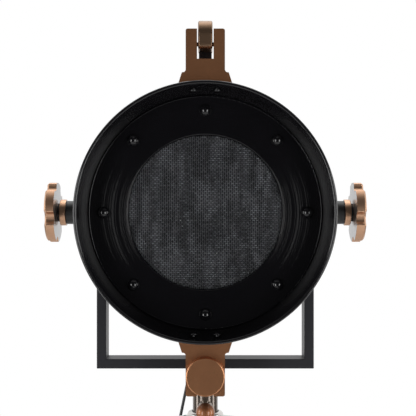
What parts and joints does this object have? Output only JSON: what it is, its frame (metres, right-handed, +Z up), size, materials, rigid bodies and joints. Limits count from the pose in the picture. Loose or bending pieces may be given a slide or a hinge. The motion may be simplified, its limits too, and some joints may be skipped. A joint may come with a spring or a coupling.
{
  "type": "spotlight floor lamp",
  "caption": "Floor spotlight: a hooded round lamp head with a hinged mesh front, tilting in a yoke on a sliding pole in a folding tripod.",
  "frame": {"origin": "on the floor, at the middle of the tripod's footprint", "axes": "+Z up, the lamp shines towards -Y, +X to the right seen from the front"},
  "size_m": [0.7611, 0.6636, 1.4993],
  "materials": {
    "black_enamel": "satin black stoved paint",
    "black_bezel": "semi-gloss black paint",
    "black_dome": "gloss black domed screws",
    "copper": "antique copper plate, satin",
    "leg_casting": "cast, painted satin black",
    "bright_steel": "polished plate",
    "nickel": "bright nickel",
    "dark_steel": "blackened steel",
    "black_leg": "satin black paint",
    "spacer_black": "black phenolic",
    "fibre": "red-brown vulcanised fibre",
    "nylon": "black nylon",
    "rubber": "moulded black rubber",
    "wire_mesh": "fine woven steel wire",
    "clear_glass": "clear flat glass",
    "bulb_glass": "frosted bulb glass",
    "bulb_cap": "bulb's screw cap",
    "porcelain": "white porcelain",
    "bright_bowl": "spun bright aluminium",
    "plated_strap": "zinc plated strip",
    "cord_black": "black round flex"
  },
  "bodies": {
    "tripod": {"hub_casting": "bright_steel", "hub_bush": "nylon", "leg_bolts": "dark_steel", "cord_coil": "cord_black", "cord_tie": "cord_black", "cord_drop": "cord_black", "plug_body": "cord_black", "plug_pins": "nickel"},
    "pole": {"pole_tube": "bright_steel", "pole_end_cap": "nylon"},
    "height_clamp": {"height_knob": "copper", "height_screw": "dark_steel"},
    "yoke": {"yoke_bar": "black_enamel", "swivel_cap": "black_enamel", "swivel_body": "black_enamel", "swivel_bolts": "dark_steel", "friction_washers": "fibre", "trunnion_spacers": "spacer_black"},
    "can": {"can_shell": "black_enamel", "can_back": "black_enamel", "back_screws": "dark_steel", "hinge_bracket": "black_enamel", "hinge_arm": "copper", "latch_lug": "black_enamel", "trunnion_bosses": "black_enamel", "trunnion_studs": "dark_steel", "reflector": "bright_bowl", "socket_strap": "plated_strap", "lamp_socket": "porcelain", "bulb_cap": "bulb_cap", "bulb_glass": "bulb_glass", "switch_body": "nickel", "cord_gland": "rubber"},
    "switch": {"switch_lever": "nickel"},
    "door": {"hood_shell": "black_enamel", "bezel_plate": "black_bezel", "lens_gasket": "rubber", "lens_glass": "clear_glass", "lens_mesh": "wire_mesh", "bezel_screws": "black_dome", "top_clevis": "copper", "bottom_clevis": "copper", "clevis_rivets": "dark_steel", "hinge_pin": "dark_steel"},
    "latch": {"latch_knob": "copper", "latch_bolt": "dark_steel"},
    "left_knob": {"left_tilt_knob": "copper"},
    "right_knob": {"right_tilt_knob": "copper"},
    "left_leg": {"left_leg_knuckle": "leg_casting", "left_leg_tube": "black_leg", "left_leg_foot": "rubber"},
    "left_wing": {"left_wing_nut": "nickel"},
    "right_leg": {"right_leg_knuckle": "leg_casting", "right_leg_tube": "black_leg", "right_leg_foot": "rubber"},
    "right_wing": {"right_wing_nut": "nickel"},
    "rear_leg": {"rear_leg_knuckle": "leg_casting", "rear_leg_tube": "black_leg", "rear_leg_foot": "rubber"},
    "rear_wing": {"rear_wing_nut": "nickel"}
  },
  "joints": [
    {"name": "pole_height", "type": "slide", "parent": "tripod", "child": "pole", "axis": [0, 0, 1], "range_m": [-0.01, 0.35], "deforming": ["cord_drop"]},
    {"name": "height_clamp_turn", "type": "hinge", "parent": "tripod", "child": "height_clamp", "pos_m": [0, -0.10513, 1.02306], "axis": [0, -1, 0], "continuous": true},
    {"name": "yoke_pan", "type": "hinge", "parent": "pole", "child": "yoke", "pos_m": [0, -0.10513, 1.04856], "axis": [0, 0, 1], "range_deg": [-150, 150], "deforming": ["cord_drop"]},
    {"name": "head_tilt", "type": "hinge", "parent": "yoke", "child": "can", "pos_m": [0, -0.10513, 1.26856], "axis": [-1, 0, 0], "range_deg": [-5, 75], "deforming": ["cord_drop"]},
    {"name": "left_knob_turn", "type": "hinge", "parent": "can", "child": "left_knob", "pos_m": [-0.19, -0.10513, 1.26856], "axis": [-1, 0, 0], "continuous": true},
    {"name": "right_knob_turn", "type": "hinge", "parent": "can", "child": "right_knob", "pos_m": [0.19, -0.10513, 1.26856], "axis": [1, 0, 0], "continuous": true},
    {"name": "switch_toggle", "type": "hinge", "parent": "can", "child": "switch", "pos_m": [0, 0.04987, 1.26856], "axis": [-1, 0, 0], "range_deg": [0, 24]},
    {"name": "door_hinge", "type": "hinge", "parent": "can", "child": "door", "pos_m": [0, -0.18613, 1.46856], "axis": [-1, 0, 0], "range_deg": [0, 100]},
    {"name": "latch_turn", "type": "hinge", "parent": "door", "child": "latch", "pos_m": [0, -0.19513, 1.07556], "axis": [0, -1, 0], "continuous": true},
    {"name": "left_leg_fold", "type": "hinge", "parent": "tripod", "child": "left_leg", "pos_m": [-0.03118, -0.12313, 0.99706], "axis": [0.5, -0.866, 0], "range_deg": [0, 21]},
    {"name": "left_wing_turn", "type": "hinge", "parent": "tripod", "child": "left_wing", "pos_m": [-0.03118, -0.12313, 0.99706], "axis": [0.5, -0.866, 0], "continuous": true},
    {"name": "right_leg_fold", "type": "hinge", "parent": "tripod", "child": "right_leg", "pos_m": [0.03118, -0.12313, 0.99706], "axis": [0.5, 0.866, 0], "range_deg": [0, 21]},
    {"name": "right_wing_turn", "type": "hinge", "parent": "tripod", "child": "right_wing", "pos_m": [0.03118, -0.12313, 0.99706], "axis": [0.5, 0.866, 0], "continuous": true},
    {"name": "rear_leg_fold", "type": "hinge", "parent": "tripod", "child": "rear_leg", "pos_m": [0, -0.06913, 0.99706], "axis": [-1, 0, 0], "range_deg": [0, 21]},
    {"name": "rear_wing_turn", "type": "hinge", "parent": "tripod", "child": "rear_wing", "pos_m": [0, -0.06913, 0.99706], "axis": [-1, 0, 0], "continuous": true}
  ]
}
